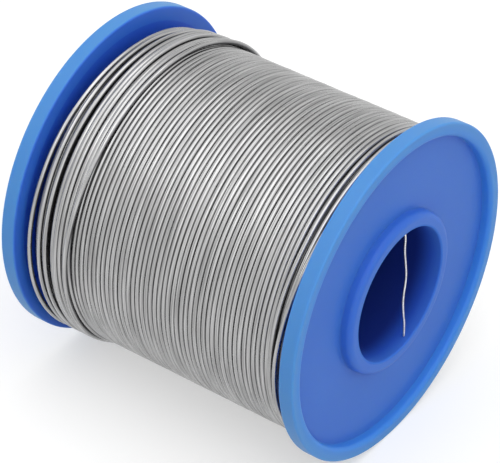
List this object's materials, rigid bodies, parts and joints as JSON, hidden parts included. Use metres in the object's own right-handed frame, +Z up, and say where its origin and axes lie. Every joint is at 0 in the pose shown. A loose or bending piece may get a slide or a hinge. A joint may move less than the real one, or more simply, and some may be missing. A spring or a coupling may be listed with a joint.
{
  "type": "solder wire spool",
  "caption": "Moulded plastic spool with recessed flanges and a through bore, wound full of solder wire, with a free wire end hanging in the bore.",
  "frame": {"origin": "on the spool's axis, midway between the two flanges", "axes": "+Y along the spindle bore towards the far flange (the one without the start hole), +Z up with the spool lying on its rims"},
  "size_m": [0.066, 0.0666, 0.066],
  "materials": {
    "spool_plastic": "satin",
    "solder": "satin",
    "flux": "matte"
  },
  "bodies": {
    "root": {"near_spool_half": "spool_plastic", "far_spool_half": "spool_plastic", "wound_layers": "solder", "top_layer": "solder", "end_turns": "solder", "loose_turns": "solder", "start_tail": "solder", "flux_core": "flux"}
  },
  "joints": []
}
